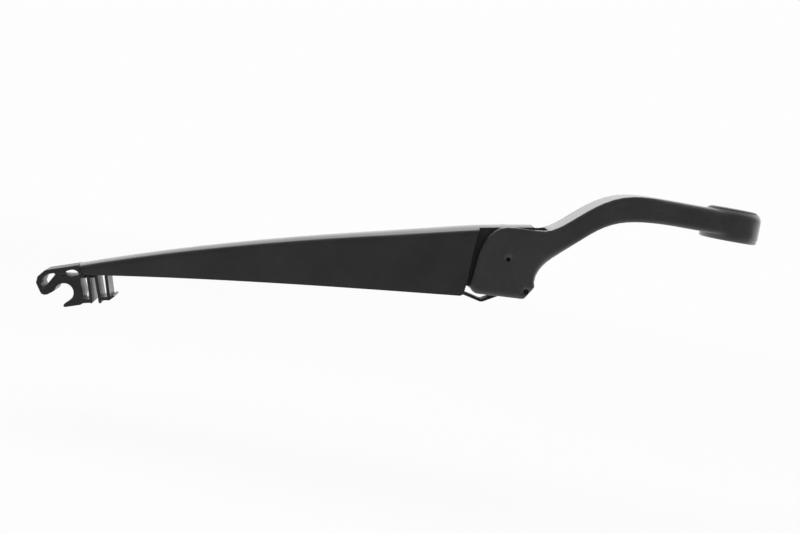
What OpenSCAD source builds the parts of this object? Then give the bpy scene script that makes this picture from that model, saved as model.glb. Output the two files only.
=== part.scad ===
// Rear window wiper arm: cranked casting, spring-loaded arm channel and blade claw.
// Side outlines are drawn in the hinge frame: hinge axis at the origin, X towards the
// spindle, Z up. Every piece is then turned into the spindle frame, which has +Z along
// the spindle and its origin inside the spindle bore.

/* [Spindle boss] */
// Diameter of the boss around the spindle
boss_d = 26.2; // [24:0.2:29]
// Height of the boss side below the spindle origin, down to the collar
boss_below = 3.1; // [2.6:0.1:4]
// Height of the collar that stands out under the boss
collar_h = 2; // [1:0.1:3]
// Diameter of the straight spindle bore
spindle_bore_d = 8.4; // [7:0.1:9.5]
// Length of the tapered socket under the straight bore
taper_h = 2.1; // [1:0.1:3]
// Widening of the tapered socket at its mouth, on the diameter
taper_widening = 1.6; // [0.6:0.1:2.4]
// Height of the nut seat above the spindle origin
nut_seat_z = 1; // [0.6:0.1:2]
// Diameter of the nut recess
nut_recess_d = 16; // [15:0.1:17]
// Radius of the rounded shoulder of the boss
shoulder_r = 4.5; // [3.5:0.1:5.5]

/* [Spindle cap] */
// Width of the rounded shoulder that the boss shows round the cap
cap_margin = 1.9; // [1.7:0.1:2.8]
// Depth of the shallow seat that the cap lies in
cap_seat_depth = 1.2; // [0.8:0.1:1.5]
// Height that the cap stands above the top of the neck
cap_rise = 1.4; // [1:0.1:2]
// Wall of the cap
cap_wall = 1.2; // [0.8:0.1:1.4]
// Length of the skirt that plugs into the nut recess
cap_skirt_h = 3; // [2:0.1:4]

/* [Neck] */
// Distance from the hinge to the spindle origin along the arm
hinge_to_spindle = 100.7; // [96:0.1:110]
// Height of the spindle origin above the hinge
spindle_rise = 12.6; // [11:0.1:14]
// Tilt of the spindle away from square to the arm
spindle_lean = 10; // [7:0.5:13]
// Height of the neck section at the boss
neck_h = 10.7; // [9.6:0.1:11.6]
// Distance from the hinge to the highest point of the neck
crest_x = 55.2; // [52:0.1:60]
// Height of the highest point of the neck above the hinge
crest_z = 27.4; // [26:0.1:29]

/* [Knuckle] */
// Width of the neck and the knuckle
knuckle_w = 25.4; // [24.4:0.1:25.8]
// Width of the slot between the two cheeks
slot_w = 16.5; // [15:0.1:18]
// Radius of the slot about the hinge axis
slot_r = 22.4; // [20:0.1:23]
// Height of the knuckle above the hinge axis
knuckle_top = 13.9; // [13:0.1:14.4]
// Depth of the knuckle below the hinge axis
knuckle_drop = 17.3; // [16.5:0.1:18.5]
// Radius of the soft edges of the casting
cast_edge_r = 0.8; // [0.4:0.1:1.2]
// Extra radius of the soft edge in the hollow behind the heel
heel_softness = 2; // [0:0.1:2.4]

/* [Hinge and hook pins] */
// Diameter of the hinge pin
hinge_pin_d = 4.8; // [4:0.1:5.4]
// Wall of the cheek left outside the blind end of the hinge pin
blind_wall = 1.8; // [1.2:0.1:2.4]
// Diameter of the small drive-out hole in that wall
drive_hole_d = 2; // [1.4:0.1:2.4]
// Diameter of the hook pin
hook_pin_d = 2.4; // [2:0.1:2.6]
// Depth of the hook pin below the cheek faces
hook_pin_recess = 0.8; // [0.4:0.1:1.2]
// Wall of the hinge bushes
bush_wall = 1; // [0.8:0.1:1.4]
// Running clearance on the radius between a pin and what turns on it
running_gap = 0.05; // [0.02:0.01:0.09]

/* [Arm channel] */
// Step on each side from the knuckle out to the shoulder of the channel
shoulder_step = 0.2; // [0.1:0.05:0.7]
// Distance from the hinge to the tip edge of the channel
channel_l = 186.9; // [180:0.1:200]
// Width of the channel at its tip
tip_w = 17; // [16:0.1:19]
// Height of the channel sides at the tip
tip_h = 4.6; // [4.2:0.1:5.4]
// Depth of the end of the long top curve, above the claw's nose, below the hinge axis
nose_drop = 5.2; // [4.8:0.1:5.6]
// Wall of the channel sides and top
wall = 1.8; // [1.4:0.1:2.2]
// Outer radius of the two long top edges
top_edge_r = 2.2; // [1.6:0.1:3]
// Rise of the crowned top above its edges, at the hinge end
crown = 1.4; // [0.6:0.1:1.6]
// Side clearance of the tongue in the slot
tongue_gap = 0.25; // [0.15:0.05:0.4]
// Thickness of each ear of the tongue
ear_t = 3; // [2.4:0.1:3.4]
// Radius of the ears round the hinge
ear_r = 10.5; // [9:0.1:11.5]

/* [Blade claw] */
// Radius of the claw socket that grips the blade pin
socket_r = 4.15; // [3.8:0.05:4.4]
// Distance from the channel tip edge to the socket axis
socket_reach = 6.3; // [5.8:0.1:7]
// Depth of the socket axis below the hinge axis
socket_drop = 15; // [14.6:0.1:15.6]
// Thickness of the thin cross ribs
rib_t = 1.3; // [1:0.1:1.6]
// Clearance between the claw plug and the inside of the channel
plug_gap = 0.1; // [0.05:0.05:0.2]

/* [Strap and spring] */
// Width of the hook strap
strap_w = 8; // [7:0.1:9]
// Thickness of the hook strap
strap_t = 1.2; // [1:0.1:1.5]
// Outer diameter of the spring
spring_d = 9.6; // [8.6:0.1:10.4]
// Diameter of the spring wire
wire_d = 1.8; // [1.4:0.1:2]
// Number of turns of the spring
turns = 20; // [16:1:22]
// Distance from the hinge to the spring anchor along the arm
anchor_x = 90; // [84:0.1:94]
// Depth of the spring anchor below the hinge
anchor_drop = 4.8; // [4:0.1:5.4]

/* [Hidden] */
$fn = 48;

// Overlap used so that cutting tools pass clean through a face
cut = 1;
hinge = [0, 0];
spindle = [hinge_to_spindle, spindle_rise];
knuckle_half = knuckle_w / 2;
shoulder_half = knuckle_half + shoulder_step;
slot_half = slot_w / 2;
tongue_half = slot_half - tongue_gap;
strap_room_half = tongue_half - ear_t;

// Heights along the spindle
boss_r = boss_d / 2;
neck_bottom_z = 0.2 - boss_below;
neck_top_z = neck_bottom_z + neck_h;
boss_bottom_z = -boss_below - collar_h;
bore_bottom_z = boss_bottom_z + taper_h;
cap_top_z = neck_top_z + cap_rise;
shoulder_z = cap_top_z - shoulder_r;
shoulder_x = boss_r - shoulder_r;
cap_r = boss_r - cap_margin;
cap_seat_r = cap_r + 0.1;
cap_floor_z = neck_top_z - cap_seat_depth;
recess_r = nut_recess_d / 2;

// Pins
hinge_pin_r = hinge_pin_d / 2;
bush_inner_r = hinge_pin_r + running_gap;
bush_outer_r = bush_inner_r + bush_wall;
hook_pin_r = hook_pin_d / 2;
hook_inner_r = hook_pin_r + running_gap;
hook_pin_at = [7.9, 3 - knuckle_drop];

// Colours
casting_black = "#2b2b2d";
arm_black = "#222224";
claw_black = "#1d1d1f";
steel = "#8d9095";
bronze = "#8a6f45";

// Points, curves and skins
function mix(a, b, t) = a + (b - a) * t;
function bezier(p, t) = pow(1 - t, 3) * p[0] + 3 * t * pow(1 - t, 2) * p[1]
    + 3 * t * t * (1 - t) * p[2] + pow(t, 3) * p[3];
// A curve without its last point, so that the next stretch can follow it
function curve(p, steps) = [for (i = [0:steps - 1]) bezier(p, i / steps)];
function arc(centre, r, from, to, steps) =
    [for (i = [0:steps]) let (a = mix(from, to, i / steps)) centre + r * [cos(a), sin(a)]];
function turned(p, angle) = [p[0] * cos(angle) - p[1] * sin(angle), p[0] * sin(angle) + p[1] * cos(angle)];
function heading(v) = atan2(v[1], v[0]);
// A height curve through two ends with the given slopes
function rise(x, x0, z0, s0, x1, z1, s1) = let (l = x1 - x0, t = (x - x0) / l)
    z0 * (1 + t * t * (2 * t - 3)) + z1 * t * t * (3 - 2 * t)
    + l * s0 * t * (1 - t) * (1 - t) - l * s1 * t * t * (1 - t);
function smooth(t) = let (c = min(1, max(0, t))) c * c * (3 - 2 * c);
// A rounded corner between two straight stretches
function fillet(before, corner, after, r, steps) = let (
    u = (before - corner) / norm(before - corner), v = (after - corner) / norm(after - corner),
    half = acos(u * v) / 2, centre = corner + (u + v) / norm(u + v) * r / sin(half),
    from = heading(corner + u * r / tan(half) - centre), to = heading(corner + v * r / tan(half) - centre),
    sweep = (to - from + 540) % 360 - 180)
    arc(centre, r, from, from + sweep, steps);
// A point of the spindle frame, given in the hinge frame
function from_spindle(x, z) = spindle + turned([x, z], -spindle_lean);
// The point moved inwards from an anticlockwise outline
function side_normal(a, b) = [a[1] - b[1], b[0] - a[0]] / norm(b - a);
function inset(outline, i, by) = let (n = len(outline),
    before = side_normal(outline[(i + n - 1) % n], outline[i]),
    after = side_normal(outline[i], outline[(i + 1) % n]))
    outline[i] + by * (before + after) / (1 + before * after);
// Triangles that fill an anticlockwise outline, clipped off it one short ear at a time
function bend(a, b, c) = (b[0] - a[0]) * (c[1] - a[1]) - (b[1] - a[1]) * (c[0] - a[0]);
function holds(o, a, b, c, i) = bend(o[a], o[b], o[i]) > -1e-4 && bend(o[b], o[c], o[i]) > -1e-4
    && bend(o[c], o[a], o[i]) > -1e-4;
function is_ear(o, ids, a, b, c) = bend(o[a], o[b], o[c]) > 1e-4
    && len([for (i = ids) if (i != a && i != b && i != c && holds(o, a, b, c, i)) i]) == 0;
function ears(o, ids) = len(ids) == 3 ? [ids] : let (
    n = len(ids),
    found = [for (k = [0:n - 1]) if (is_ear(o, ids, ids[(k + n - 1) % n], ids[k], ids[(k + 1) % n]))
        [norm(o[ids[(k + 1) % n]] - o[ids[(k + n - 1) % n]]), k]],
    shortest = min([for (ear = found) ear[0]]),
    k = [for (ear = found) if (ear[0] == shortest) ear[1]][0])
    concat([[ids[(k + n - 1) % n], ids[k], ids[(k + 1) % n]]], ears(o, [for (j = [0:n - 1]) if (j != k) ids[j]]));
function lid_of(outline) = ears(outline, [for (i = [0:len(outline) - 1]) i]);
// Faces of a closed skin over rings of equal length, with a lid of triangles at both ends
function skin_faces(rings, count, lid) = concat(
    [for (t = lid) [t[2], t[1], t[0]]],
    [for (k = [0:rings - 2], i = [0:count - 1]) let (a = k * count + i, b = k * count + (i + 1) % count)
        [a, b, b + count]],
    [for (k = [0:rings - 2], i = [0:count - 1]) let (a = k * count + i, b = k * count + (i + 1) % count)
        [a, b + count, a + count]],
    [for (t = lid) t + (rings - 1) * count * [1, 1, 1]]);
module skin(rings, lid) {
    polyhedron([for (ring = rings, p = ring) p], skin_faces(len(rings), len(rings[0]), lid), convexity = 8);
}
// An outline with a thickness across Y and its own edge radius at each point
module soft_block(outline, radii, half, steps = 3) {
    function inner(i, turn) = inset(outline, i, radii[i] * (1 - cos(turn)));
    function ring(side, turn) = [for (i = [0:len(outline) - 1]) let (p = inner(i, turn))
        [p[0], side * (half - radii[i] * (1 - sin(turn))), p[1]]];
    skin(concat([for (k = [steps:-1:0]) ring(-1, 90 * k / steps)], [for (k = [0:steps]) ring(1, 90 * k / steps)]),
        lid_of([for (i = [0:len(outline) - 1]) inner(i, 90)]));
}
// A flat outline of the hinge frame, given a thickness across Y
module plate(half) {
    rotate([90, 0, 0]) linear_extrude(height = 2 * half, center = true) children();
}
module cross_bar(at, r, from, to) {
    translate([at[0], from, at[1]]) rotate([-90, 0, 0]) cylinder(r = r, h = to - from);
}
module in_spindle_frame() {
    rotate([0, -spindle_lean, 0]) translate([-spindle[0], 0, -spindle[1]]) children();
}

// Head casting: boss, cranked neck and the two cheeks of the hinge
valley = [16.2, knuckle_top - 1.65];
underside_crest = [crest_x + 0.4, crest_z - 11.1];
ramp_foot = [22.1, 2];
ramp_top = [crest_x - 23.5, crest_z - 19.2];
heel = [11.75, 7.1 - knuckle_drop];
toe = [-17.6, 2.65 - knuckle_drop];
chamfer_low = [7, -0.3 - knuckle_drop];
chamfer_high = [11.7, 4.9 - knuckle_drop];
cheek_side = [-13.8, -1.5];
neck_under = concat(
    fillet(cheek_side, toe, chamfer_low, 3.6, 5),
    fillet(toe, chamfer_low, chamfer_high, 1.9, 4),
    fillet(chamfer_low, chamfer_high, heel, 1.5, 3),
    curve([heel, heel + [1.05, 5.7], ramp_foot - [5.6, 3.7], ramp_foot], 6),
    [ramp_foot],
    curve([ramp_top, ramp_top + [9.3, 6], underside_crest - [9.1, 0], underside_crest], 7),
    curve([underside_crest, underside_crest + [5.4, 0], from_spindle(-32.7, neck_bottom_z),
        from_spindle(-26.6, neck_bottom_z)], 5),
    [from_spindle(-26.6, neck_bottom_z), from_spindle(2, neck_bottom_z)]);
neck_over = concat(
    [from_spindle(2, neck_top_z), from_spindle(-14, neck_top_z), from_spindle(-24, neck_top_z)],
    curve([from_spindle(-32.5, neck_top_z), from_spindle(-37.6, neck_top_z), [crest_x + 4.8, crest_z],
        [crest_x, crest_z]], 5),
    curve([[crest_x, crest_z], [crest_x - 17.2, crest_z], valley + [9.5, 0], valley], 11),
    curve([valley, valley - [5, 0], [5, knuckle_top], [-0.4, knuckle_top]], 5),
    curve([[-0.4, knuckle_top], [-8.3, knuckle_top], [-12.7, 4.8], cheek_side], 8),
    [cheek_side]);
function over_radius(x) = mix(cast_edge_r, shoulder_r - 0.4, smooth((x - crest_x) / 20));
function under_radius(p) = mix(cast_edge_r, 1.4, smooth((p[0] - crest_x) / 20))
    + heel_softness * smooth(p[0] / 8) * smooth((p[1] - heel[1] + 2.6) / 4) * smooth((7 - p[1]) / 8);

// The neck and knuckle with the fork slot and the bores of both pins
module forked_neck() {
    in_spindle_frame() difference() {
        soft_block(concat(neck_under, neck_over),
            concat([for (p = neck_under) under_radius(p)], [for (p = neck_over) over_radius(p[0])]),
            knuckle_half);
        cross_bar(hinge, slot_r, -slot_half, slot_half);
        cross_bar(hinge, hinge_pin_r + 0.01, blind_wall - knuckle_half, knuckle_half + cut);
        cross_bar(hinge, drive_hole_d / 2, -knuckle_half - cut, blind_wall - knuckle_half + cut / 2);
        cross_bar(hook_pin_at, hook_pin_r + 0.01, -knuckle_half - cut, knuckle_half + cut);
    }
}

module boss() {
    rotate_extrude($fn = 96) polygon(concat(
        [[0, boss_bottom_z], [boss_r - 0.9, boss_bottom_z], [boss_r - 0.3, boss_bottom_z + 0.6],
            [boss_r - 0.3, -boss_below], [boss_r, -boss_below]],
        arc([shoulder_x, shoulder_z], shoulder_r, 0, 90, 10), [[0, cap_top_z]]));
}

module head() {
    color(casting_black) difference() {
        union() {
            forked_neck();
            boss();
        }
        translate([0, 0, cap_floor_z]) cylinder(r = cap_seat_r, h = shoulder_r + cut, $fn = 96);
        translate([0, 0, nut_seat_z]) cylinder(r = recess_r, h = neck_top_z);
        translate([0, 0, boss_bottom_z - cut]) cylinder(d = spindle_bore_d, h = neck_top_z);
        // The cone is drawn past both ends of the socket, along the same slope
        translate([0, 0, boss_bottom_z - taper_h / 2]) cylinder(h = 2 * taper_h,
            d1 = spindle_bore_d + 1.5 * taper_widening, d2 = spindle_bore_d - 0.5 * taper_widening);
    }
}

// Cap over the spindle nut, with a split skirt that plugs into the nut recess
skirt_r = recess_r - 0.08;
module spindle_cap() {
    cap_edge_z = shoulder_z + sqrt(pow(shoulder_r, 2) - pow(cap_r - shoulder_x, 2));
    color(casting_black) difference() {
        rotate_extrude($fn = 96) polygon(concat(
            [[0, cap_floor_z - cap_skirt_h], [skirt_r - 0.3, cap_floor_z - cap_skirt_h],
                [skirt_r, cap_floor_z - cap_skirt_h + 0.6], [skirt_r, cap_floor_z], [cap_r, cap_floor_z],
                [cap_r, cap_edge_z - 0.25]],
            [for (p = arc([shoulder_x, shoulder_z], shoulder_r, 0, 90, 12)) if (p[0] < cap_r - 0.2) p],
            [[shoulder_x / 2, cap_top_z + 0.1], [0, cap_top_z + 0.15]]));
        translate([0, 0, cap_floor_z - cap_skirt_h - cut])
            cylinder(r = skirt_r - 1.1, h = cap_top_z - cap_wall - cap_floor_z + cap_skirt_h + cut);
        for (turn = [45, 135]) rotate([0, 0, turn]) translate([0, 0, cap_floor_z - cap_skirt_h / 2 - cut / 2])
            cube([2 * recess_r, 3, cap_skirt_h + cut], center = true);
    }
}

// Pins and bushes of the hinge and the strap hook
module hinge_pin() {
    color(steel) in_spindle_frame()
        cross_bar(hinge, hinge_pin_r, blind_wall + 0.1 - knuckle_half, knuckle_half - 0.4);
}

module hinge_bush(side) {
    color(bronze) in_spindle_frame() mirror([0, side < 0 ? 1 : 0, 0]) difference() {
        union() {
            cross_bar(hinge, bush_outer_r - 0.01, strap_room_half, tongue_half);
            cross_bar(hinge, bush_outer_r + 1.2, tongue_half - 0.8, tongue_half + tongue_gap - 0.05);
        }
        cross_bar(hinge, bush_inner_r, strap_room_half - cut, slot_half + cut);
    }
}
module hinge_bush_left() { hinge_bush(-1); }
module hinge_bush_right() { hinge_bush(1); }

module hook_pin() {
    color(steel) in_spindle_frame()
        cross_bar(hook_pin_at, hook_pin_r, hook_pin_recess - knuckle_half, knuckle_half - hook_pin_recess);
}

// Arm channel: an inverted U that tapers to the tip, with the hinge tongue and spring anchor
// The claw's own unit, so that its outline grows with its socket
claw_unit = socket_r / 4.15;
nose_x = -channel_l - socket_reach - 8.2 * claw_unit;
tongue_end = 11.4;
shoulder_foot = [-19.1, -14.2];
rim_end = [-22.2, -15.9];
anchor = [-anchor_x, -anchor_drop];
top_run = [-22, knuckle_top - 0.54, 0.0475];
function top_z(x) = x < top_run[0] ? rise(x, nose_x, -nose_drop, 0.19, top_run[0], top_run[1], top_run[2])
    : rise(min(x, -4), top_run[0], top_run[1], top_run[2], -4, top_run[1] + 0.4, 0);
// Height of the top's two long edges, which the crown rises above
function edge_z(x) = top_z(x) - crown * mix(0.5, 1, min(1, max(0, x / channel_l + 1)));
tip_rim_z = top_z(-channel_l) - tip_h;
function rim_z(x) = rise(x, -channel_l, tip_rim_z, -0.02, rim_end[0], rim_end[1], -0.07);
function half_w(x) = x > rim_end[0] ? shoulder_half
    : rise(x, -channel_l, tip_w / 2, 0.012, rim_end[0], shoulder_half, 0.045);
function channel_ring(x) = let (
    edge = edge_z(x), bow = top_z(x) - edge, rim = rim_z(x), h = half_w(x), r = top_edge_r,
    inner_r = max(0.3, r - wall), flat = h - r, inner_flat = h - wall - inner_r,
    right = concat([[h, rim]], arc([flat, edge - r], r, 0, 90, 5),
        [for (t = [0.8, 0.6, 0.4, 0.2]) [flat * t, edge + bow * (1 - t * t)]]),
    under = concat([[h - wall, rim]], arc([inner_flat, edge - wall - inner_r], inner_r, 0, 90, 2),
        [[inner_flat / 2, edge - wall + 0.75 * bow]]),
    outside = concat(right, [[0, edge + bow]], [for (i = [len(right) - 1:-1:0]) [-right[i][0], right[i][1]]]),
    inside = concat([for (p = under) [-p[0], p[1]]], [[0, edge - wall + bow]],
        [for (i = [len(under) - 1:-1:0]) under[i]]))
    [for (p = concat(outside, inside)) [x, p[0], p[1]]];
stations = concat([14, 5, -4, -13], [for (i = [0:12]) mix(rim_end[0], -channel_l - 4, i / 12)]);

// The slanted edges at both ends of the channel
shoulder_edge = curve([[-10.8, top_z(-10.8) + 2], [-15.6, 8.2], [-16, -2], shoulder_foot], 10);
seam_top = [-channel_l, top_z(-channel_l)];
seam_foot = [-channel_l + 2.4, tip_rim_z];
seam_run = (seam_foot - seam_top) / (seam_top[1] - seam_foot[1]);
function seam_at(z, gap) = [seam_top[0] + gap + seam_run[0] * (seam_top[1] - z), z];

module channel_shell() {
    difference() {
        skin([for (x = stations) channel_ring(x)], lid_of([for (p = channel_ring(stations[0])) [p[1], p[2]]]));
        for (side = [-1, 1]) translate([0, side * (tongue_half + shoulder_half), 0])
            plate(shoulder_half) polygon(concat(shoulder_edge,
                fillet(shoulder_foot + [0, 6], shoulder_foot - [0.3, 1.6], rim_end - [6, -0.48], 1.2, 3),
                [rim_end - [6, 4], [20, -24], [20, 20]]));
        plate(2 * shoulder_half) polygon([[tongue_end - 0.4, top_z(tongue_end) + 3], [tongue_end, top_z(tongue_end)],
            [tongue_end + 0.9, top_z(tongue_end) - 1.4], [tongue_end + 0.9, -30], [30, -30], [30, 30]]);
        plate(tongue_half + 0.02) polygon([[shoulder_foot[0] + 1, rim_z(0) - 9], [30, rim_z(0) - 9],
            [30, 6], [shoulder_foot[0] + 1, 6]]);
        plate(2 * shoulder_half) polygon([seam_at(20, 0.04), seam_at(-20, 0.04), [-channel_l - 30, -20],
            [-channel_l - 30, 20]]);
    }
}

ear_outline = concat(
    [[tongue_end, edge_z(tongue_end) - 0.5], [tongue_end + 0.4, 11]],
    arc(hinge, ear_r, 25, -100, 12),
    [[-12, -12.1], [-26, -12.1]], [for (x = [-30, -24, -12, 0]) [x, edge_z(x) - 0.5]]);
module tongue() {
    difference() {
        plate(tongue_half) polygon(ear_outline);
        plate(strap_room_half) polygon([[-40, -30], [30, -30], [30, edge_z(0) - wall + 0.8],
            [-8, edge_z(-8) - wall + 0.8], [-40, edge_z(-40) - wall + 1.4]]);
    }
}
module shoulder() {
    back = [-wall - 0.4, 0];
    ceiling = edge_z(-12) - 1;
    strip = [for (p = shoulder_edge) if (p[1] < ceiling + 0.4) p];
    difference() {
        plate(shoulder_half - wall / 2) polygon(concat([[strip[0][0] - 0.3, ceiling]],
            [for (p = strip) if (p[1] < ceiling - 0.1) p], [shoulder_foot], [shoulder_foot + back],
            [for (i = [len(strip) - 1:-1:0]) if (strip[i][1] < ceiling - 0.1) strip[i] + back],
            [[strip[0][0] - 0.3, ceiling] + back]));
        plate(strap_room_half) polygon([[-60, -30], [10, -30], [10, 8], [-60, 8]]);
    }
}
anchor_rim = 1.6;
hook_hole_r = wire_d / 2 + 0.6;
module spring_anchor() {
    r = hook_hole_r + anchor_rim;
    plate(1.2) union() {
        polygon([anchor + [r, 0], anchor + [r, top_z(-anchor_x) + anchor_drop - wall / 2],
            anchor + [-r - 5, top_z(-anchor_x - 8) + anchor_drop - wall / 2], anchor - [r, 0]]);
        translate(anchor) circle(r = r);
    }
}

module arm_channel() {
    color(arm_black) in_spindle_frame() difference() {
        union() {
            channel_shell();
            tongue();
            shoulder();
            spring_anchor();
        }
        cross_bar(hinge, bush_outer_r, -tongue_half - cut, tongue_half + cut);
        for (side = [0, 1]) mirror([0, side, 0])
            cross_bar(hinge, bush_outer_r + 1.21, tongue_half - 0.81, tongue_half + cut);
        cross_bar(anchor, hook_hole_r, -2, 2);
    }
}

// Blade claw: moulded nose loop, C-shaped socket and cross ribs, plugged into the channel tip
socket = [-channel_l - socket_reach, -socket_drop];
tip_half = tip_w / 2;
function at_socket(x, z) = socket + claw_unit * [x, z];
function on_top(x) = [at_socket(x, 0)[0], top_z(at_socket(x, 0)[0])];
function in_tip(x) = [at_socket(x, 0)[0], edge_z(at_socket(x, 0)[0]) - wall - plug_gap];
// Outline of nose and claw, with the socket left a little small for the exact bore
claw_under = concat(
    [at_socket(-8.2, 9.75), at_socket(-11.3, 7.1), at_socket(-12, 4.4), at_socket(-10.2, 0.25)],
    curve([at_socket(-9.6, -0.55), at_socket(-8.6, -1.3), at_socket(-7, -0.9), at_socket(-5.6, -0.1)], 3),
    [at_socket(-4.4, 0.7), at_socket(-0.76, 3.93)],
    arc(socket, socket_r - 0.15, 86, -37, 9),
    [at_socket(0, -4.9), at_socket(-0.35, -5.5), at_socket(-0.2, -6.1), at_socket(0.4, -6.3),
        at_socket(6.9, -5.35), at_socket(8, -4.8), at_socket(7.8, -3.5)],
    curve([at_socket(8.2, -0.9), at_socket(8.3, 1), at_socket(7.2, 3.4), at_socket(6.9, 5.6)], 4),
    [at_socket(7.2, 6.3), seam_at(at_socket(0, 6.4)[1], 0), seam_at(at_socket(0, 8.2)[1], 0)]);
claw_over = concat([seam_at(seam_top[1], 0)], [for (x = [3, -1, -5]) on_top(x)]);
loop_hole = [at_socket(-8.9, 1.6), at_socket(-3.6, 8), at_socket(-4.3, 8.57), at_socket(-6.8, 8.1),
    at_socket(-8.8, 6.64), at_socket(-9.85, 4.1)];
window_hole = concat(curve([at_socket(-1.5, 7.45), at_socket(0.6, 9.3), at_socket(4.6, 12.4),
    at_socket(6.7, 8.2)], 8), curve([at_socket(6.7, 8.2), at_socket(6.4, 7.1), at_socket(1.6, 6.9),
    at_socket(-1.5, 7.45)], 6));

plug_half = tip_half - wall - plug_gap;
plug_end = 21.6;
// A leaning cross rib with a pointed foot, from its head to its foot
module rib(head_x, head_z, foot_x, foot_z) {
    polygon([at_socket(head_x, head_z), at_socket(foot_x, foot_z),
        at_socket(foot_x, foot_z - 0.6) + [rib_t / 2, 0], at_socket(foot_x, foot_z) + [rib_t, 0],
        at_socket(head_x, head_z) + [rib_t, 0]]);
}
module ribs(head_z) {
    top = (head_z - socket[1]) / claw_unit;
    rib(9.8 + (6.7 - top) * 0.13, top, 11.1, -4.2);
    rib(13.1 + (7.6 - top) * 0.15, top, 14.9, -4.2);
    rib(17.5 + (7.6 - top) * 0.12, top, 18.7, -2.9);
    polygon([at_socket(7.5, -3.1), at_socket(7.5, -4.6), at_socket(11.7, -4.4), at_socket(11.7, -2.9)]);
    polygon([at_socket(15.2, -1.9), at_socket(15.2, -3.4), at_socket(19.6, -3.3), at_socket(21.8, -1.7),
        at_socket(21.2, -1.1), at_socket(19.4, -1.9)]);
}

// The claw's moulded side walls, with the socket and both windows
module claw_body() {
    difference() {
        soft_block(concat(claw_under, claw_over),
            concat([for (p = claw_under) 0.35], [for (p = claw_over) 1.1]), tip_half);
        cross_bar(socket, socket_r, -tip_half - cut, tip_half + cut);
        plate(tip_half + cut) polygon(loop_hole);
        plate(tip_half + cut) polygon(window_hole);
    }
}

module blade_claw() {
    color(claw_black) in_spindle_frame() {
        claw_body();
        plate(plug_half) polygon(concat(
            [seam_at(at_socket(0, 6.4)[1], -1), at_socket(14.4, 6.4), at_socket(14.4, 8.4), at_socket(plug_end, 8.3)],
            [for (x = [plug_end, 14, 7.5]) in_tip(x)], [seam_at(edge_z(-channel_l) - wall - plug_gap, -1)]));
        plate(tip_half - 0.05) ribs(tip_rim_z - 0.45);
        plate(plug_half) ribs(tip_rim_z + 2);
    }
}

// Hook strap: bent flat steel, hooked over its pin and holed for the spring
strap_bend = [-10.9, -1.8 - knuckle_drop];
hook_r = hook_inner_r + strap_t / 2;
pull = anchor - hook_pin_at;
pull_angle = heading(pull);
function along_pull(u, v) = hook_pin_at + turned([u, v], pull_angle);
lead = hook_pin_at - strap_bend;
hook_from = heading(lead) + asin(hook_r / norm(lead)) + 90;
strap_hole_u = 40.6;
strap_hole = along_pull(strap_hole_u, 0);
strap_end = along_pull(strap_hole_u + hook_hole_r + anchor_rim, 0);
strap_crank = along_pull(38.4, 0.3);
strap_path = concat([strap_end, strap_crank], fillet(strap_crank, strap_bend,
    hook_pin_at + hook_r * [cos(hook_from), sin(hook_from)], 2.4, 4),
    arc(hook_pin_at, hook_r, hook_from, hook_from - 215, 16));
function path_normal(path, i) = let (
    a = i == 0 ? path[0] : path[i - 1], b = i == len(path) - 1 ? path[i] : path[i + 1],
    before = i == 0 ? side_normal(path[0], path[1]) : side_normal(a, path[i]),
    after = i == len(path) - 1 ? before : side_normal(path[i], b))
    (before + after) / (1 + before * after);

module hook_strap() {
    outline = concat([for (i = [0:len(strap_path) - 1]) strap_path[i] - strap_t / 2 * path_normal(strap_path, i)],
        [for (i = [len(strap_path) - 1:-1:0]) strap_path[i] + strap_t / 2 * path_normal(strap_path, i)]);
    color(steel) in_spindle_frame() difference() {
        plate(strap_w / 2) polygon(outline);
        cross_bar(hook_pin_at, hook_inner_r, -strap_w, strap_w);
        translate([strap_hole[0], 0, strap_hole[1]]) rotate([0, -pull_angle, 0])
            cylinder(r = hook_hole_r, h = 4 * strap_t, center = true);
    }
}

// Tension spring: one wire coiled between two end loops turned square to each other
loop_r = 2.6;
coil_r = (spring_d - wire_d) / 2;
spring_l = norm(anchor - strap_hole);
coil_from = 2 * loop_r + 1;
coil_l = spring_l - 2 * coil_from;
wire_sides = 6;
turn_steps = 12;
coil_turns = turns + 0.25;
// The wire's path along the spring: distance from the strap hole, then height, then side
spring_path = concat(
    [for (i = [0:8]) let (a = mix(-140, 130, i / 8)) [loop_r * (1 - cos(a)), loop_r * sin(a), 0]],
    [for (i = [0:round(coil_turns * turn_steps)]) let (t = i / round(coil_turns * turn_steps),
        a = 90 - 360 * coil_turns * t) [coil_from + coil_l * t, coil_r * sin(a), coil_r * cos(a)]],
    [for (i = [0:8]) let (a = mix(130, -140, i / 8))
        [spring_l - loop_r * (1 - cos(a)), 0, -loop_r * sin(a)]]);
function unit(v) = v / norm(v);
function along(path, i) = unit(path[min(i + 1, len(path) - 1)] - path[max(min(i, len(path)) - 1, 0)]);
function across(n, t) = unit(n - (n * t) * t);
// The axes of each ring of the wire, carried along it so that the wire never twists
function wire_frames(path) = [for (i = 0, n = across([0, 0, 1], along(path, 0)); i < len(path);
    i = i + 1, n = across(n, along(path, i))) [n, cross(along(path, i), n)]];

module tension_spring() {
    frames = wire_frames(spring_path);
    color(steel) in_spindle_frame() translate([strap_hole[0], 0, strap_hole[1]])
        rotate([0, -pull_angle, 0]) rotate([90, 0, 0])
        skin([for (i = [0:len(spring_path) - 1]) let (f = frames[i])
            [for (k = [0:wire_sides - 1]) let (a = -360 * k / wire_sides)
                spring_path[i] + wire_d / 2 * (cos(a) * f[0] + sin(a) * f[1])]],
            [for (k = [2:wire_sides - 1]) [0, k - 1, k]]);
}

head();
spindle_cap();
hinge_pin();
hinge_bush_left();
hinge_bush_right();
hook_pin();
arm_channel();
blade_claw();
hook_strap();
tension_spring();
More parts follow.
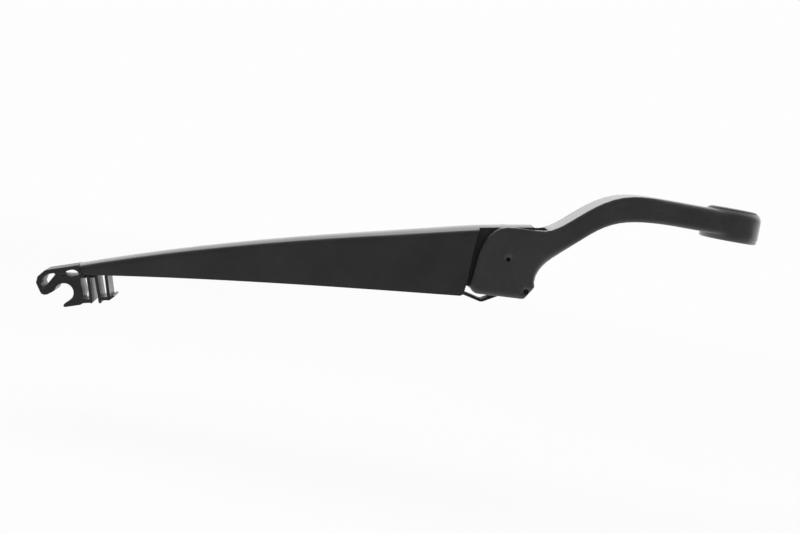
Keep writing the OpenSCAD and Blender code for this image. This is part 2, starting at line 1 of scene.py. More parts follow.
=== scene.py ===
"""Rear window wiper arm: finishes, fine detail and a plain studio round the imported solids.

Sizes are in millimetres in the classes and in metres in Blender. The side view has its origin on
the hinge axis, X towards the spindle and Z up; the arm itself stands in the spindle's frame, in
which the side view is turned by the lean of the spindle.
"""
from __future__ import annotations

import logging
import math
from dataclasses import dataclass
from enum import Enum
from typing import Any, Mapping, Sequence

import bmesh
import bpy
from mathutils import Matrix, Vector

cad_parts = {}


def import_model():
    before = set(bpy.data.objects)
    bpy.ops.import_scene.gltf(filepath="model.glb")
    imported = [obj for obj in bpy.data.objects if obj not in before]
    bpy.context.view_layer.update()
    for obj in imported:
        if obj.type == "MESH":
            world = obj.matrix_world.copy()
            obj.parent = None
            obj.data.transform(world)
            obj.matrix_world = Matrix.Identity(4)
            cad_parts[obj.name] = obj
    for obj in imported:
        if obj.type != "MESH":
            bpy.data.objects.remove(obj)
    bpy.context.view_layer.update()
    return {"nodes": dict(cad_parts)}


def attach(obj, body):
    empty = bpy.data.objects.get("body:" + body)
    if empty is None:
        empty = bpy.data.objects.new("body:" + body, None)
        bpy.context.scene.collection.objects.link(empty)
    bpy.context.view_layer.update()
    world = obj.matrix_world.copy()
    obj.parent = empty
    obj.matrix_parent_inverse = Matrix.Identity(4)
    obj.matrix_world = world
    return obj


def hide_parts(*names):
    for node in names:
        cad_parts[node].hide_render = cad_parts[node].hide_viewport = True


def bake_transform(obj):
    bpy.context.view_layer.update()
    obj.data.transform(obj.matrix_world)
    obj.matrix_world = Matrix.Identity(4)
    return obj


LOG = logging.getLogger("wiper_arm")

# Where the spindle meets the side view, and how far it leans from it
SPINDLE_AT = (100.7, 12.6)
SPINDLE_LEAN = math.radians(10)
# Points closer than the first, in metres, are one, and faces that differ by less than the second
WELD_DISTANCE = 2e-6
FLAT_DEGREES = 0.3
# How strongly large faces rule the shading, and how finely round edges are sampled
NORMAL_WEIGHT = 60
EDGE_SAMPLES = 16
# Spans of the noise that give the full range of tone and of gloss
TONE_SPAN = (0.1, 0.45)
CLOUD_SPAN = (0.3, 0.7)
# Share of its size to which grain is slowed along drawn strip and wire
DRAWN_STRETCH = 0.06


class Body(Enum):
    """The moving bodies that pieces ride on."""

    HEAD = "head"
    ARM = "arm"
    LINK = "link"
    SPRING = "spring"
    CAP = "cap"


class Grain(Enum):
    """How a surface was made, as far as the eye can tell."""

    POWDER = "powder coat over a casting"
    MOULDED = "spark-eroded mould skin"
    CAST = "paint over a die-cast skin"
    DRAWN = "lines drawn along strip or wire"
    SINTERED = "pores of pressed metal powder"


def mm(value: float) -> float:
    """Give a length in metres for one in millimetres."""
    return value / 1000


def scale_for(size_mm: float) -> float:
    """Give the scale at which a texture node repeats once in a size in millimetres."""
    return 1000 / size_mm


def side_view(x: float, y: float, z: float) -> Vector:
    """Turn a point of the side view into the spindle's frame.

    Args:
        x: Distance from the hinge towards the spindle, in millimetres.
        y: Distance across the arm, in millimetres.
        z: Height above the hinge, in millimetres.

    Returns:
        The point in metres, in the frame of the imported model.
    """
    along = x - SPINDLE_AT[0]
    above = z - SPINDLE_AT[1]
    cos, sin = math.cos(SPINDLE_LEAN), math.sin(SPINDLE_LEAN)
    return Vector((mm(along * cos - above * sin), mm(y), mm(along * sin + above * cos)))


def linear(hex_colour: str) -> tuple[float, float, float, float]:
    """Turn an sRGB hex colour into the linear colour that nodes take.

    Args:
        hex_colour: Six hex digits with a leading hash.

    Returns:
        Red, green, blue and an alpha of 1.
    """
    values = [int(hex_colour[i:i + 2], 16) / 255 for i in (1, 3, 5)]
    red, green, blue = (v / 12.92 if v <= 0.04045 else ((v + 0.055) / 1.055) ** 2.4 for v in values)
    return red, green, blue, 1.0


def add_node(tree: bpy.types.NodeTree, kind: str, inputs: Mapping[str | int, Any] | None = None,
             **settings: Any) -> bpy.types.Node:
    """Add a node, set its properties and fill or link its inputs.

    Args:
        tree: The tree that gets the node.
        kind: The node's type identifier.
        inputs: A value or an output socket for each input that is set, by name or number.
        settings: Properties of the node, by name.

    Returns:
        The new node.
    """
    node = tree.nodes.new(kind)
    for name, value in settings.items():
        setattr(node, name, value)
    for key, value in (inputs or {}).items():
        if isinstance(value, bpy.types.NodeSocket):
            tree.links.new(value, node.inputs[key])
        else:
            node.inputs[key].default_value = value
    return node


@dataclass(frozen=True)
class Finish:
    """One surface finish, from its colours down to the relief of its grain.

    Attributes:
        name: The material's name.
        dark: Colour in the low spots of grain and cloud.
        light: Colour on their high spots.
        roughness: Mean roughness.
        grain: How the surface was made.
        grain_mm: Size of one grain.
        relief_mm: Height of the grain.
        metallic: Share of bare metal.
        ior: Index of refraction of a paint or plastic; metal keeps the default.
        swing: How far the roughness strays either way.
        cloud_mm: Size of the soft patches that vary tone and gloss.
        coat: Weight of the glossy skin over a paint.
        coat_roughness: Roughness of that skin.
        edge_mm: Radius over which edges are shaded round.
    """

    name: str
    dark: str
    light: str
    roughness: float
    grain: Grain
    grain_mm: float
    relief_mm: float
    metallic: float = 0.0
    ior: float = 1.5
    swing: float = 0.05
    cloud_mm: float = 16.0
    coat: float = 0.0
    coat_roughness: float = 0.25
    edge_mm: float = 0.2

    def material(self) -> bpy.types.Material:
        """Build the finish as a node material, or return it if it was built before.

        Returns:
            The material, named after the finish.
        """
        made = bpy.data.materials.get(self.name)
        if made is not None:
            return made
        made = bpy.data.materials.new(self.name)
        made.use_nodes = True
        tree = made.node_tree
        tree.nodes.clear()
        place = add_node(tree, "ShaderNodeTexCoord").outputs["Object"]
        grain = self._grain(tree, place)
        cloud = add_node(tree, "ShaderNodeTexNoise", {
            "Vector": place, "Scale": scale_for(self.cloud_mm), "Detail": 3.0}).outputs["Fac"]
        both = add_node(tree, "ShaderNodeMath", {0: grain, 1: cloud}, operation="MULTIPLY").outputs[0]
        tone = add_node(tree, "ShaderNodeMapRange", {
            "Value": both, "From Min": TONE_SPAN[0], "From Max": TONE_SPAN[1]}).outputs[0]
        colour = add_node(tree, "ShaderNodeMix", {
            "Factor": tone, 6: linear(self.dark), 7: linear(self.light)}, data_type="RGBA").outputs[2]
        gloss = add_node(tree, "ShaderNodeMapRange", {
            "Value": cloud, "From Min": CLOUD_SPAN[0], "From Max": CLOUD_SPAN[1],
            "To Min": self.roughness - self.swing, "To Max": self.roughness + self.swing}).outputs[0]
        edge = add_node(tree, "ShaderNodeBevel", {"Radius": mm(self.edge_mm)},
                        samples=EDGE_SAMPLES).outputs[0]
        bump = add_node(tree, "ShaderNodeBump", {
            "Height": grain, "Strength": 1.0, "Distance": mm(self.relief_mm), "Normal": edge}).outputs[0]
        shader = add_node(tree, "ShaderNodeBsdfPrincipled", {
            "Base Color": colour, "Roughness": gloss, "Metallic": self.metallic, "Normal": bump})
        if not self.metallic:
            shader.inputs["IOR"].default_value = self.ior
        if self.coat:
            shader.inputs["Coat Weight"].default_value = self.coat
            shader.inputs["Coat Roughness"].default_value = self.coat_roughness
            tree.links.new(edge, shader.inputs["Coat Normal"])
        add_node(tree, "ShaderNodeOutputMaterial", {"Surface": shader.outputs[0]})
        return made

    def _grain(self, tree: bpy.types.NodeTree, place: bpy.types.NodeSocket) -> bpy.types.NodeSocket:
        """Add the nodes of the finish's fine grain.

        Args:
            tree: The material's node tree.
            place: The socket of the point's coordinates.

        Returns:
            The socket that gives the grain's height, from 0 to 1.
        """
        if self.grain in (Grain.MOULDED, Grain.SINTERED):
            cells = add_node(tree, "ShaderNodeTexVoronoi", {
                "Vector": place, "Scale": scale_for(self.grain_mm)}, feature="F1")
            return cells.outputs["Distance"]
        if self.grain is Grain.DRAWN:
            place = add_node(tree, "ShaderNodeMapping", {
                "Vector": place, "Rotation": (0.0, -SPINDLE_LEAN, 0.0),
                "Scale": (DRAWN_STRETCH, 1.0, 1.0)}).outputs[0]
        return add_node(tree, "ShaderNodeTexNoise", {
            "Vector": place, "Scale": scale_for(self.grain_mm), "Detail": 2.0,
            "Roughness": 0.6}).outputs["Fac"]


# Thick paint on a die casting: smooth satin black, round at the edges, pale only at a grazing angle
CASTING_PAINT = Finish("satin_black_casting_paint", "#2e2e2f", "#38383a", 0.42, Grain.CAST, 1.1, 0.012,
                       coat=1.0, coat_roughness=0.24, edge_mm=3.4)
# Powder coat on the arm: black with a fine pebble, and a clear skin that pales at a grazing angle
ARM_POWDER = Finish("textured_black_powder_coat", "#232324", "#303031", 0.5, Grain.POWDER, 0.55, 0.02,
                    coat=1.0, coat_roughness=0.18)
# Acetal moulding of the claw: dense black with a waxy sheen
CLAW_ACETAL = Finish("black_acetal_moulding", "#262627", "#313132", 0.36, Grain.MOULDED, 0.5, 0.006,
                     ior=1.48)
# Polypropylene cap: black with an even mould grain
CAP_POLYPROPYLENE = Finish("grained_black_polypropylene", "#262627", "#303031", 0.34, Grain.MOULDED,
                           0.4, 0.006, ior=1.49)
# Phosphated spring steel: dark grey with lines along the strip
STRAP_STEEL = Finish("phosphated_spring_steel", "#3a3b3c", "#55575a", 0.44, Grain.DRAWN, 0.3, 0.006,
                     metallic=0.75)
# Oiled spring wire: a brighter grey with die lines
SPRING_WIRE = Finish("oiled_spring_wire", "#6d6f72", "#8d9094", 0.30, Grain.DRAWN, 0.25, 0.004,
                     metallic=1.0)
# Phosphated pins: near black steel
PIN_STEEL = Finish("phosphated_pin_steel", "#2c2c2e", "#45464a", 0.38, Grain.CAST, 0.4, 0.004,
                   metallic=0.8)
# Sintered bronze bushes: brown-gold with open pores
BUSH_BRONZE = Finish("sintered_bronze", "#6b5330", "#94774a", 0.42, Grain.SINTERED, 0.3, 0.01,
                     metallic=0.9)


def object_from(mesh: bpy.types.Mesh, name: str) -> bpy.types.Object:
    """Link a new object for a mesh into the scene.

    Args:
        mesh: The finished mesh, with its place in its points.
        name: The piece's name.

    Returns:
        The new object, at the origin.
    """
    made = bpy.data.objects.new(name, mesh)
    bpy.context.scene.collection.objects.link(made)
    return made


def merged_copy(node: bpy.types.Object, name: str) -> bpy.types.Object:
    """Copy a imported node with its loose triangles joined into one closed, smooth-shaded skin.

    Args:
        node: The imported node, which stays as it is.
        name: The new piece's name.

    Returns:
        The new object.
    """
    mesh = node.data.copy()
    mesh.name = name
    mesh.materials.clear()
    for leftover in ("custom_normal", "sharp_edge", "sharp_face"):
        if leftover in mesh.attributes:
            mesh.attributes.remove(mesh.attributes[leftover])
    shop = bmesh.new()
    shop.from_mesh(mesh)
    bmesh.ops.remove_doubles(shop, verts=shop.verts, dist=WELD_DISTANCE)
    bmesh.ops.dissolve_limit(shop, angle_limit=math.radians(FLAT_DEGREES), verts=shop.verts,
                             edges=shop.edges, use_dissolve_boundaries=False)
    shop.to_mesh(mesh)
    shop.free()
    return object_from(mesh, name)


def soften(piece: bpy.types.Object, edge_mm: float, sharp_degrees: float = 40.0) -> None:
    """Shade a piece smoothly and round its sharp edges slightly.

    Args:
        piece: The piece.
        edge_mm: Width of the rounding.
        sharp_degrees: The angle from which an edge counts as sharp.
    """
    piece.data.shade_smooth()
    bevel = piece.modifiers.new("edge", "BEVEL")
    bevel.width = mm(edge_mm)
    bevel.segments = 2
    bevel.limit_method = "ANGLE"
    bevel.angle_limit = math.radians(sharp_degrees)
    bevel.miter_outer = "MITER_ARC"
    bevel.use_clamp_overlap = True
    weighted = piece.modifiers.new("normals", "WEIGHTED_NORMAL")
    weighted.keep_sharp = True
    weighted.weight = NORMAL_WEIGHT


@dataclass(frozen=True)
class TopLift:
    """A lift of a piece's top by a hair along a stretch of the side view, fading in smoothly.

    Attributes:
        lift_mm: The full lift, which sinks the top where it is negative.
        from_mm: Where along the arm the lift starts.
        to_mm: Where it is full.
        above_mm: The height above which points are lifted.
        fade_mm: The height over which the lift grows to its share.
    """

    lift_mm: float
    from_mm: float
    to_mm: float
    above_mm: float
    fade_mm: float = 2.0


def lift_top(mesh: bpy.types.Mesh, lift: TopLift) -> None:
    """Raise or sink the top of a piece.

    Args:
        mesh: The piece's mesh, in the spindle's frame.
        lift: Where and by how much.
    """
    hinge = side_view(0, 0, 0)
    forward = (side_view(1, 0, 0) - hinge).normalized()
    upward = (side_view(0, 0, 1) - hinge).normalized()
    for vertex in mesh.vertices:
        off = (vertex.co - hinge) * 1000
        run = min(1.0, max(0.0, (off.dot(forward) - lift.from_mm) / (lift.to_mm - lift.from_mm)))
        share = min(1.0, max(0.0, (off.dot(upward) - lift.above_mm) / lift.fade_mm))
        vertex.co += upward * mm(lift.lift_mm * run * run * (3 - 2 * run) * share)


def evaluated(tree: bpy.types.NodeTree, name: str, sizes: Mapping[str, Any],
              mesh: bpy.types.Mesh | None = None) -> bpy.types.Object:
    """Run a geometry tree once and keep its result as a plain mesh.

    Args:
        tree: The geometry tree.
        name: The name of the piece it makes.
        sizes: A value for each named input.
        mesh: The mesh that the tree works on, if it takes one.

    Returns:
        A new object at the origin that holds the result.
    """
    carrier = object_from(mesh or bpy.data.meshes.new(name + "_carrier"), name + "_carrier")
    modifier = carrier.modifiers.new(name, "NODES")
    modifier.node_group = tree
    for item in tree.interface.items_tree:
        if item.in_out == "INPUT" and item.name in sizes:
            modifier[item.identifier] = sizes[item.name]
    graph = bpy.context.evaluated_depsgraph_get()
    result = bpy.data.meshes.new_from_object(carrier.evaluated_get(graph), depsgraph=graph)
    result.name = name
    bpy.data.objects.remove(carrier)
    return object_from(result, name)


@dataclass
class SubAssembly:
    """What all sub-assemblies share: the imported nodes, and the way a piece is placed."""

    nodes: Mapping[str, bpy.types.Object]

    def place(self, piece: bpy.types.Object, finish: Finish, body: Body, slot: str,
              stands_for: Sequence[str] = ()) -> None:
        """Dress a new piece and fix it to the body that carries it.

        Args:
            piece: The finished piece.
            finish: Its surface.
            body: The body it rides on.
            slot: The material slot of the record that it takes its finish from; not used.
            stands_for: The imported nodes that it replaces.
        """
        piece.data.materials.clear()
        piece.data.materials.append(finish.material())
        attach(piece, body.value)
        if stands_for:
            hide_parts(*stands_for)
        LOG.info("%s: %d faces, %s, on %s", piece.name, len(piece.data.polygons), finish.name, body.value)

    def dress(self, node_name: str, finish: Finish) -> None:
        """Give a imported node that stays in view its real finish.

        Args:
            node_name: The node.
            finish: Its surface.
        """
        mesh = self.nodes[node_name].data
        mesh.materials.clear()
        mesh.materials.append(finish.material())
        LOG.info("%s: packed node dressed in %s", node_name, finish.name)


@dataclass
class HeadCasting(SubAssembly):
    """The cranked casting with its boss, fork and pins, and the serrations of its socket."""

    edge_mm: float = 0.16
    socket_top_mm: float = 4.2
    socket_mouth_mm: float = 5.0
    socket_from_z_mm: float = -5.1
    socket_to_z_mm: float = -3.0
    serrations: int = 44
    tooth_mm: float = 0.42
    tooth_sunk_mm: float = 0.1
    tooth_short_mm: float = 0.25

    def build(self) -> None:
        """Build the casting, its serrations and its pins."""
        casting = merged_copy(self.nodes["head"], "head_casting")
        soften(casting, self.edge_mm)
        self.place(casting, CASTING_PAINT, Body.HEAD, "head_casting", ["head"])
        self.place(self.serration_ring(), CASTING_PAINT, Body.HEAD, "head_casting")
        self.dress("hinge_pin", PIN_STEEL)
        self.dress("hook_pin", PIN_STEEL)

    def serration_ring(self) -> bpy.types.Object:
        """Make the ring of teeth in the tapered socket that bite on the spindle.

        Returns:
            The ring as one plain mesh.
        """
        height_mm = self.socket_to_z_mm - self.socket_from_z_mm
        slope = math.atan2(self.socket_mouth_mm - self.socket_top_mm, height_mm)
        tree = bpy.data.node_groups.new("socket_serrations", "GeometryNodeTree")
        for label, kind in (("Count", "NodeSocketInt"), ("Radius", "NodeSocketFloat"),
                            ("Tooth", "NodeSocketFloat"), ("Length", "NodeSocketFloat")):
            tree.interface.new_socket(label, in_out="INPUT", socket_type=kind)
        tree.interface.new_socket("Geometry", in_out="OUTPUT", socket_type="NodeSocketGeometry")
        sizes = add_node(tree, "NodeGroupInput").outputs
        ring = add_node(tree, "GeometryNodeMeshCircle", {
            "Vertices": sizes["Count"], "Radius": sizes["Radius"]})
        tooth = add_node(tree, "GeometryNodeMeshCylinder", {
            "Vertices": 3, "Radius": sizes["Tooth"], "Depth": sizes["Length"]})
        normal = add_node(tree, "GeometryNodeInputPosition").outputs[0]
        outward = add_node(tree, "FunctionNodeAlignRotationToVector", {"Vector": normal}, axis="X",
                           pivot_axis="Z").outputs[0]
        lean = add_node(tree, "FunctionNodeRotateRotation", {
            "Rotation": outward, "Rotate By": (0.0, -slope, math.pi)}, rotation_space="LOCAL").outputs[0]
        teeth = add_node(tree, "GeometryNodeInstanceOnPoints", {
            "Points": ring.outputs[0], "Instance": tooth.outputs[0], "Rotation": lean})
        real = add_node(tree, "GeometryNodeRealizeInstances", {0: teeth.outputs[0]})
        coated = add_node(tree, "GeometryNodeSetMaterial", {
            "Geometry": real.outputs[0], "Material": CASTING_PAINT.material()})
        add_node(tree, "NodeGroupOutput", {0: coated.outputs[0]})
        radius_mm = (self.socket_top_mm + self.socket_mouth_mm) / 2 + self.tooth_sunk_mm
        made = evaluated(tree, "socket_serrations", {
            "Count": self.serrations, "Radius": mm(radius_mm), "Tooth": mm(self.tooth_mm),
            "Length": mm(height_mm - self.tooth_short_mm)})
        middle_mm = (self.socket_from_z_mm + self.socket_to_z_mm) / 2
        made.data.transform(Matrix.Translation((0, 0, mm(middle_mm))))
        return made


@dataclass
class SpindleCap(SubAssembly):
    """The snapped cap over the spindle nut."""

    edge_mm: float = 0.2

    def build(self) -> None:
        """Build the cap with a soft rim."""
        cap = merged_copy(self.nodes["spindle_cap"], "nut_cap")
        soften(cap, self.edge_mm)
        self.place(cap, CAP_POLYPROPYLENE, Body.CAP, "cap_plastic", ["spindle_cap"])


@dataclass
class ArmChannel(SubAssembly):
    """The tapered channel with its tongue and bushes."""

    edge_mm: float = 0.1
    sharp_degrees: float = 44.0
    swell: TopLift = TopLift(0.65, -45.0, -8.0, 9.0)

    def build(self) -> None:
        """Build the channel and dress its bushes."""
        channel = merged_copy(self.nodes["arm_channel"], "arm_shell")
        lift_top(channel.data, self.swell)
        soften(channel, self.edge_mm, self.sharp_degrees)
        self.place(channel, ARM_POWDER, Body.ARM, "arm_coating", ["arm_channel"])
        for side in ("left", "right"):
            self.dress(f"hinge_bush_{side}", BUSH_BRONZE)


@dataclass
class BladeClaw(SubAssembly):
    """The moulded claw that takes the blade's pin."""

    edge_mm: float = 0.08
    sink: TopLift = TopLift(-0.35, -201.0, -188.0, -6.2)

    def build(self) -> None:
        """Build the claw."""
        claw = merged_copy(self.nodes["blade_claw"], "claw_moulding")
        lift_top(claw.data, self.sink)
        soften(claw, self.edge_mm)
        self.place(claw, CLAW_ACETAL, Body.ARM, "claw_plastic", ["blade_claw"])


@dataclass
class PullLinkage(SubAssembly):
    """The hook strap and the tension spring between it and the arm."""

    strap_edge_mm: float = 0.12
    spring_mm: float = 9.6
    wire_mm: float = 1.8
    turns: float = 20.25
    turns_start_degrees: float = 90.0
    loop_mm: float = 2.6
    loop_open_degrees: float = 140.0
    loop_bend_degrees: float = 270.0
    loop_steps: int = 16
    lead_gap_mm: float = 1.0
    hole_at: tuple[float, float] = (-32.4, -11.4)
    anchor_at: tuple[float, float] = (-90.02, -5.05)
    sides: int = 12
    steps_per_turn: int = 24

    def build(self) -> None:
        """Build the strap and the coil."""
        strap = merged_copy(self.nodes["hook_strap"], "pull_strap")
        soften(strap, self.strap_edge_mm)
        self.place(strap, STRAP_STEEL, Body.LINK, "strap_steel", ["hook_strap"])
        self.place_coil()

    def wire_path(self) -> list[Vector]:
        """Follow the wire from the loop in the strap, round the coil, to the loop on the anchor.

        Returns:
            Points in the side view, in millimetres, with the side as Y.
        """
        start = Vector((self.hole_at[0], 0.0, self.hole_at[1]))
        pull = Vector((self.anchor_at[0], 0.0, self.anchor_at[1])) - start
        along = pull.normalized()
        up = Vector((-along.z, 0.0, along.x))
        side = Vector((0.0, -1.0, 0.0))
        lead = 2 * self.loop_mm + self.lead_gap_mm
        body = pull.length - 2 * lead
        radius = (self.spring_mm - self.wire_mm) / 2
        count = round(self.turns * self.steps_per_turn)
        bends = [math.radians(self.loop_bend_degrees * i / self.loop_steps - self.loop_open_degrees)
                 for i in range(self.loop_steps + 1)]
        points = [start + along * self.loop_mm * (1 - math.cos(bend)) + up * self.loop_mm * math.sin(bend)
                  for bend in bends]
        for i in range(count + 1):
            angle = math.radians(self.turns_start_degrees) - math.tau * self.turns * i / count
            points.append(start + along * (lead + body * i / count) + up * radius * math.sin(angle)
                          + side * radius * math.cos(angle))
        points += [start + along * (pull.length - self.loop_mm * (1 - math.cos(bend)))
                   - side * self.loop_mm * math.sin(bend) for bend in reversed(bends)]
        return points

    def place_coil(self) -> None:
        """Sweep the wire along its path into the coil that stands in for the imported spring."""
        wire = bpy.data.meshes.new("wire_path")
        points = [side_view(*p) for p in self.wire_path()]
        wire.from_pydata(points, [(i, i + 1) for i in range(len(points) - 1)], [])
        tree = bpy.data.node_groups.new("coiled_wire", "GeometryNodeTree")
        tree.interface.new_socket("Geometry", in_out="INPUT", socket_type="NodeSocketGeometry")
        tree.interface.new_socket("Wire radius", in_out="INPUT", socket_type="NodeSocketFloat")
        tree.interface.new_socket("Sides", in_out="INPUT", socket_type="NodeSocketInt")
        tree.interface.new_socket("Geometry", in_out="OUTPUT", socket_type="NodeSocketGeometry")
        given = add_node(tree, "NodeGroupInput").outputs
        path = add_node(tree, "GeometryNodeMeshToCurve", {"Mesh": given["Geometry"]})
        ring = add_node(tree, "GeometryNodeCurvePrimitiveCircle", {
            "Resolution": given["Sides"], "Radius": given["Wire radius"]}, mode="RADIUS")
        tube = add_node(tree, "GeometryNodeCurveToMesh", {
            "Curve": path.outputs[0], "Profile Curve": ring.outputs[0], "Fill Caps": True})
        smooth = add_node(tree, "GeometryNodeSetShadeSmooth", {0: tube.outputs[0]})
        real = add_node(tree, "GeometryNodeRealizeInstances", {0: smooth.outputs[0]})
        steel = add_node(tree, "GeometryNodeSetMaterial", {
            "Geometry": real.outputs[0], "Material": SPRING_WIRE.material()})
        add_node(tree, "NodeGroupOutput", {0: steel.outputs[0]})
        coil = evaluated(tree, "tension_coil",
                         {"Wire radius": mm(self.wire_mm / 2), "Sides": self.sides}, wire)
        coil.data.materials.clear()
        coil.data.materials.append(SPRING_WIRE.material())
        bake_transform(coil)
        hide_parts("tension_spring")
        LOG.info("%s: %d faces, %s", coil.name, len(coil.data.polygons), SPRING_WIRE.name)


@dataclass(frozen=True)
class Lamp:
    """A soft box of the studio, which paint and plastic don't mirror."""

    name: str
    at: tuple[float, float, float]
    aim: tuple[float, float, float]
    width: float
    height: float
    watts: float

    def hang(self) -> None:
        """Hang the lamp and turn it to what it lights."""
        data = bpy.data.lights.new(self.name, "AREA")
        data.shape = "RECTANGLE"
        data.size = self.width
        data.size_y = self.height
        data.energy = self.watts
        lamp = bpy.data.objects.new(self.name, data)
        lamp.visible_glossy = False
        bpy.context.scene.collection.objects.link(lamp)
        lamp.location = side_view(*self.at)
        lamp.rotation_mode = "QUATERNION"
        lamp.rotation_quaternion = (side_view(*self.aim) - lamp.location).to_track_quat("-Z", "Y")


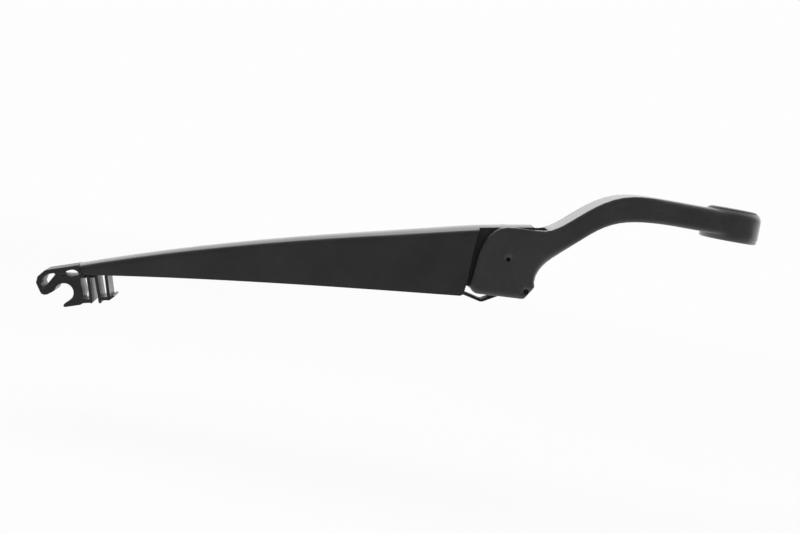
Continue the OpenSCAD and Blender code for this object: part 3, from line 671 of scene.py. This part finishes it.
@dataclass
class Studio:
    """The camera, the pale floor, the backdrop light and the soft boxes.

    Attributes:
        under_mm: Where along the arm the middle of the floor's tone lies.
        floor_glow: Share of its own light in the floor that the camera sees near the object.
        floor_near: Brightness of the floor near the object.
        floor_fade_m: Distances from the object at which the floor's tone starts and ends its change.
        floor_front_m: Depths at which the mirrored floor is darkest and brightest.
        backdrop: Brightness of the backdrop that the camera sees.
        mirrored: Brightness that glossy faces mirror from behind the object.
        mirrored_front: Brightness that they mirror from the camera's side.
        mirrored_above: Share that is left of the mirrored light straight above.
        mirrored_depth: Directions along Y between which the mirrored light grows.
        mirrored_height: Directions along Z between which it falls to that share.
        fill: Brightness of the light from all round.
    """

    camera_at: tuple[float, float, float] = (-88.0, -733.1, 63.2)
    yaw_degrees: float = 3.223
    pitch_degrees: float = -5.251
    roll_degrees: float = 0.314
    lens_mm: float = 74.86
    sensor_mm: float = 36.0
    under_mm: float = -90.0
    floor_z_mm: float = -135.0
    floor_m: float = 14.0
    floor_glow: float = 0.8
    floor_near: float = 1.02
    floor_fade_m: tuple[float, float] = (0.3, 1.1)
    floor_front_m: tuple[float, float] = (-0.25, 0.1)
    floor_paper: str = "#f0f0f0"
    backdrop: float = 0.985
    mirrored: float = 1.15
    mirrored_front: float = 0.06
    mirrored_above: float = 0.42
    mirrored_depth: tuple[float, float] = (-0.3, 0.7)
    mirrored_height: tuple[float, float] = (0.3, 0.95)
    fill: float = 0.5
    lamps: tuple[Lamp, ...] = (
        Lamp("overhead_box", (-60, 120, 760), (-60, 0, 0), 1.3, 0.7, 4.0),
        Lamp("front_box", (-380, -900, 420), (-50, 0, 0), 0.9, 0.9, 1.5),
        Lamp("right_box", (720, -260, 160), (90, 0, 10), 0.5, 0.6, 1.2),
    )

    def build(self) -> None:
        """Set up everything round the object."""
        self.camera()
        self.floor()
        self.world()
        for lamp in self.lamps:
            lamp.hang()
        bpy.context.scene.view_settings.view_transform = "Standard"

    def camera(self) -> None:
        """Stand the camera a little above the arm, looking down at the middle of its near side."""
        data = bpy.data.cameras.new("camera")
        data.lens = self.lens_mm
        data.sensor_width = self.sensor_mm
        data.clip_start, data.clip_end = 0.01, 50.0
        camera = bpy.data.objects.new("camera", data)
        bpy.context.scene.collection.objects.link(camera)
        turns = ((-math.degrees(SPINDLE_LEAN), "Y"), (-self.yaw_degrees, "Z"),
                 (90 + self.pitch_degrees, "X"), (self.roll_degrees, "Z"))
        place = Matrix.Translation(side_view(*self.camera_at))
        for degrees, axis in turns:
            place = place @ Matrix.Rotation(math.radians(degrees), 4, axis)
        camera.matrix_world = place
        bpy.context.scene.camera = camera

    def floor(self) -> None:
        """Lay the pale floor, with the object's soft shadow near it and nothing in the way from below."""
        half = self.floor_m / 2
        mesh = bpy.data.meshes.new("floor")
        z = mm(self.floor_z_mm)
        corners = [(-half, -half, z), (half, -half, z), (half, half, z), (-half, half, z)]
        mesh.from_pydata(corners, [], [(0, 1, 2, 3)])
        floor = object_from(mesh, "floor")
        paper = bpy.data.materials.new("white_paper_floor")
        paper.use_nodes = True
        tree = paper.node_tree
        tree.nodes.clear()
        ray = add_node(tree, "ShaderNodeLightPath").outputs
        seen = add_node(tree, "ShaderNodeMath", {0: ray["Is Camera Ray"], 1: ray["Is Glossy Ray"]},
                        operation="MAXIMUM").outputs[0]
        place = add_node(tree, "ShaderNodeTexCoord").outputs["Object"]
        below = side_view(self.under_mm, 0, self.floor_z_mm)
        away = add_node(tree, "ShaderNodeVectorMath", {0: place, 1: below},
                        operation="DISTANCE").outputs["Value"]
        fade = {"Value": away, "From Min": self.floor_fade_m[0], "From Max": self.floor_fade_m[1]}
        glow = add_node(tree, "ShaderNodeMapRange", {**fade, "To Min": self.floor_glow}).outputs[0]
        bright = add_node(tree, "ShaderNodeMapRange", {
            **fade, "To Min": self.floor_near, "To Max": self.backdrop}).outputs[0]
        share = add_node(tree, "ShaderNodeMath", {0: seen, 1: glow}, operation="MULTIPLY").outputs[0]
        depth = add_node(tree, "ShaderNodeSeparateXYZ", {0: place}).outputs["Y"]
        glossy = add_node(tree, "ShaderNodeMapRange", {
            "Value": depth, "From Min": self.floor_front_m[0], "From Max": self.floor_front_m[1],
            "To Min": self.mirrored_front, "To Max": self.mirrored}).outputs[0]
        shine = add_node(tree, "ShaderNodeMix", {
            0: ray["Is Camera Ray"], 2: glossy, 3: bright}, data_type="FLOAT").outputs[0]
        matt = add_node(tree, "ShaderNodeBsdfDiffuse", {"Color": linear(self.floor_paper)})
        lit = add_node(tree, "ShaderNodeEmission", {"Color": (1, 1, 1, 1), "Strength": shine})
        mixed = add_node(tree, "ShaderNodeMixShader", {0: share, 1: matt.outputs[0], 2: lit.outputs[0]})
        under = add_node(tree, "ShaderNodeNewGeometry").outputs["Backfacing"]
        clear = add_node(tree, "ShaderNodeBsdfTransparent")
        sheet = add_node(tree, "ShaderNodeMixShader", {
            0: under, 1: mixed.outputs[0], 2: clear.outputs[0]})
        add_node(tree, "ShaderNodeOutputMaterial", {"Surface": sheet.outputs[0]})
        mesh.materials.append(paper)

    def world(self) -> None:
        """Light the scene evenly, with a white backdrop that metal and gloss show too."""
        world = bpy.data.worlds.new("studio")
        bpy.context.scene.world = world
        world.use_nodes = True
        tree = world.node_tree
        tree.nodes.clear()
        ray = add_node(tree, "ShaderNodeLightPath").outputs
        direction = add_node(tree, "ShaderNodeTexCoord").outputs["Generated"]
        towards = add_node(tree, "ShaderNodeSeparateXYZ", {0: direction}).outputs
        behind = add_node(tree, "ShaderNodeMapRange", {
            "Value": towards["Y"], "From Min": self.mirrored_depth[0],
            "From Max": self.mirrored_depth[1]}).outputs[0]
        low = add_node(tree, "ShaderNodeMapRange", {
            "Value": towards["Z"], "From Min": self.mirrored_height[0],
            "From Max": self.mirrored_height[1], "To Min": 1.0, "To Max": self.mirrored_above}).outputs[0]
        sheet = add_node(tree, "ShaderNodeMath", {0: behind, 1: low}, operation="MULTIPLY").outputs[0]
        mirrored = add_node(tree, "ShaderNodeMapRange", {
            "Value": sheet, "To Min": self.mirrored_front, "To Max": self.mirrored}).outputs[0]
        glossy = add_node(tree, "ShaderNodeMath", {
            0: ray["Is Glossy Ray"], 1: ray["Is Transmission Ray"]}, operation="MAXIMUM").outputs[0]
        light = add_node(tree, "ShaderNodeMix", {0: glossy, 2: self.fill, 3: mirrored},
                         data_type="FLOAT").outputs[0]
        shown = add_node(tree, "ShaderNodeMix", {0: ray["Is Camera Ray"], 2: light, 3: self.backdrop},
                         data_type="FLOAT").outputs[0]
        sky = add_node(tree, "ShaderNodeBackground", {"Color": (1, 1, 1, 1), "Strength": shown})
        add_node(tree, "ShaderNodeOutputWorld", {"Surface": sky.outputs[0]})


def main() -> None:
    """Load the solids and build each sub-assembly round them."""
    logging.basicConfig(level=logging.INFO, format="%(name)s %(message)s")
    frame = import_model()
    nodes = frame["nodes"]
    Studio().build()
    for sub_assembly in (HeadCasting, SpindleCap, ArmChannel, BladeClaw, PullLinkage):
        sub_assembly(nodes).build()


if __name__ == "__main__":
    main()
